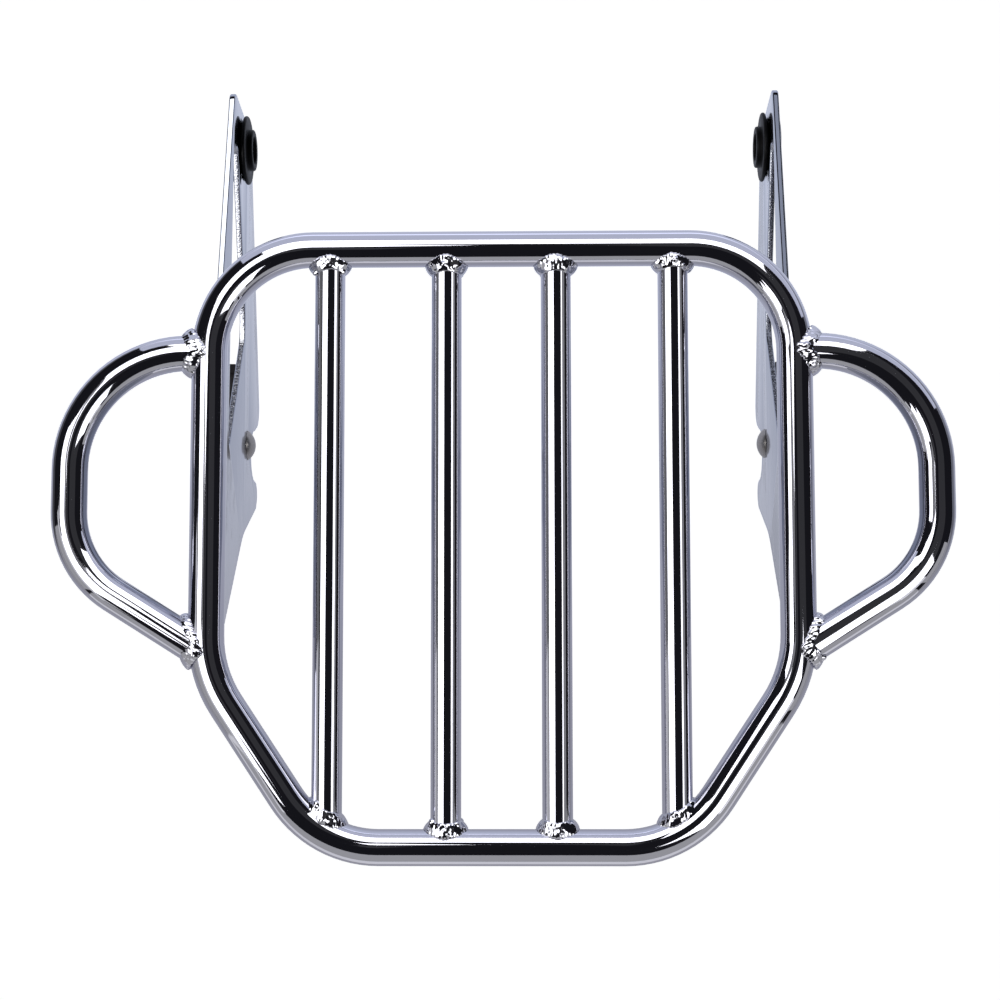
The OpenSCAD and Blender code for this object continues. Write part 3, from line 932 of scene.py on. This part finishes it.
rear_grey, mid_grey = (0.43, 0.43, 0.46), (0.44, 0.45, 0.52)
front_lavender, far_lavender = (0.66, 0.70, 0.84), (0.72, 0.76, 0.92)
side_grey, side_dark = (0.40, 0.40, 0.43), (0.08, 0.08, 0.09)
white, black, most_white = (1, 1, 1), (0, 0, 0), (0.75, 0.75, 0.75)
far_back, far_front = -0.76, 1.24
along_y = ramp(
    tree,
    split.outputs["Y"],
    far_back,
    far_front,
    [(0.15, rear_grey), (0.35, mid_grey), (0.5, front_lavender), (0.8, far_lavender)],
)
past_sides = ramp(
    tree,
    split.outputs["X"],
    -1,
    1,
    [(0.17, white), (0.25, black), (0.69, black), (0.85, most_white)],
)
side_shade = ramp(
    tree,
    split.outputs["Y"],
    far_back,
    far_front,
    [(0.26, side_grey), (0.36, side_dark)],
)
blend = tree.nodes.new("ShaderNodeMix")
blend.data_type = "RGBA"
first_colour, second_colour, mixed_colour = 6, 7, 2
tree.links.new(past_sides, blend.inputs["Factor"])
tree.links.new(along_y, blend.inputs[first_colour])
tree.links.new(side_shade, blend.inputs[second_colour])
tree.links.new(blend.outputs[mixed_colour], shader.inputs["Emission Color"])

# %% A white room for the camera
bpy.ops.object.select_all(action="DESELECT")
backdrop_place = (middle.x, middle.y, 0)
bpy.ops.mesh.primitive_uv_sphere_add(segments=48, ring_count=24, radius=7, location=backdrop_place)
backdrop = bpy.context.object
backdrop.name = "backdrop"
backdrop_paint, _, shader, _ = start_finish("backdrop_paint", (0, 0, 0), 0.0, 1.0)
shader.inputs["Emission Color"].default_value = (1, 1, 1, 1)
shader.inputs["Emission Strength"].default_value = 1.0
backdrop.data.materials.append(backdrop_paint)
seen_by(backdrop, camera=True)

# %% [markdown]
# ## Studio lights
#
# Chrome is lit by what it mirrors, and a tube mirrors the whole room in one narrow stripe. Each
# light is therefore placed as a tube sees it: by its compass direction, counted anticlockwise
# from the rack's right, and by the angles from overhead between which its bright band lies. Two
# panels before the rack and a low wall behind it stand so near that they are placed by length
# instead. In the photograph the thin bars and the thick outer tubes carry different streaks,
# because cards were held close to them. Light linking gives each group of pieces its own cards.

# %% Place a light by direction
def only_for(name, *words):
    """A group of the pieces whose names hold one of the words, for a light to be kept to."""
    group = bpy.data.collections.new(name)
    for piece in bpy.context.scene.objects:
        if any(word in piece.name for word in words):
            group.objects.link(piece)
    return group


def card(name, width, height, glow, colour, group):
    """A rectangular light with an even brightness of glow, whatever its size."""
    data = bpy.data.lights.new(name, "AREA")
    data.shape = "RECTANGLE"
    data.size = width
    data.size_y = height
    data.energy = glow * math.pi * width * height
    data.color = colour
    light = bpy.data.objects.new(name, data)
    light.visible_camera = False
    light.light_linking.receiver_collection = group
    bpy.context.scene.collection.objects.link(light)
    return light


def soft_light(name, group, compass, half, near, far, glow, colour=(1, 1, 1), reach=1.6):
    """A card that spans compass +- half degrees, from near to far degrees off overhead."""
    lean, way = math.radians((near + far) / 2), math.radians(compass)
    width = 2 * reach * math.sin(lean) * math.tan(math.radians(half))
    height = 2 * reach * math.tan(math.radians(far - near) / 2)
    light = card(name, width, height, glow, colour, group)
    out = Vector((math.cos(way) * math.sin(lean), math.sin(way) * math.sin(lean), math.cos(lean)))
    light.location = middle + reach * out
    light.rotation_euler = out.to_track_quat("Z", "Y").to_euler()
    return light


def panel(name, group, y, left, right, bottom, top, glow, colour=(1, 1, 1)):
    """An upright card before or behind the rack. Heights are above the deck tube."""
    light = card(name, right - left, top - bottom, glow, colour, group)
    light.location = ((left + right) / 2, y, deck_z + (bottom + top) / 2)
    light.rotation_euler = (math.copysign(math.pi / 2, middle.y - y), 0, 0)
    return light


# %% Groups of pieces that share their lights
tubes = only_for("tubes", "chromed_deck", "chromed_bar", "chromed_handle", "beads", "stitches")
outer = only_for("outer_tubes", "chromed_deck", "chromed_handle", "beads", "stitches")
inner = only_for("inner_bars", "chromed_bar")
plates = only_for("plates", "chromed_plate")
left_plate = only_for("left_plate", "chromed_plate_left")
right_plate = only_for("right_plate", "chromed_plate_right")
small = only_for("small_pieces", "lever", "grommet", "pivot", "latch")

# %% Lights on the deck tube, the handles and the beads
lavender = (0.8, 0.84, 1)
panel("front_light", tubes, 0.25, -0.31, 0.4, 0.276, 0.872, 3)
panel("front_glow", tubes, 0.25, -0.4, 1.0, -0.08, 0.262, 0.85, lavender)
panel("back_wall", tubes, -0.71, -0.8, 0.8, -0.18, 0.33, 0.47)
soft_light("front_left", outer, 128, 18, 15, 42, 3)
soft_light("front_left_haze", outer, 160, 16, 18, 32, 0.3)
soft_light("left_thin", outer, 172, 15, 31.6, 55.6, 3, reach=0.97)
soft_light("left_near", outer, 196, 13, 21, 36, 3)
soft_light("left_far", outer, 198, 16, 36, 57, 3)
soft_light("left_fade", outer, 197, 22, 57, 66, 0.8)
soft_light("right_back", outer, 327, 22, 21, 56, 3)
soft_light("right_back_fade", outer, 327, 8, 56, 68, 1)
soft_light("wall_left", tubes, 196, 15, 66, 92, 0.47)
soft_light("wall_right", tubes, 341, 10, 68, 92, 0.47)
soft_light("roof", outer, 20, 50, 8, 44, 0.035)
soft_light("roof_left", outer, 170, 30, 6, 14, 0.045)

# %% Lights on the bars
soft_light("bar_left", inner, 180, 45, 16, 58, 3)
soft_light("bar_left_glow", inner, 180, 45, 62, 92, 0.17)
soft_light("bar_right", inner, 0, 45, 38, 51, 2.4)
soft_light("bar_right_fade", inner, 0, 45, 51, 66, 0.3)

# %% Lights on the plates
soft_light("plate_left_light", plates, 180, 45, 12, 54, 3)
soft_light("plate_edge_light", left_plate, 102, 30, 32, 66, 3)
soft_light("plate_edge_glow", right_plate, 78, 12, 32, 66, 0.6, lavender)
soft_light("plate_back_glow", plates, 270, 45, 50, 92, 0.45)
soft_light("plate_side_left", plates, 180, 40, 60, 92, 0.45)
soft_light("plate_side_right", plates, 0, 40, 60, 92, 0.45)

# %% Lights on the small pieces, and a nearly black room
soft_light("small_left", small, 180, 40, 18, 58, 3)
soft_light("small_sparkle", small, 2, 4, 60, 69, 20)
soft_light("small_sparkle_left", small, 178, 4, 60, 69, 20)

world = bpy.data.worlds.new("studio")
world.use_nodes = True
bpy.context.scene.world = world
world.node_tree.nodes["Background"].inputs["Color"].default_value = (0.012, 0.012, 0.015, 1)
bpy.context.scene.view_settings.view_transform = "Standard"
print("lights:", len(bpy.data.lights))
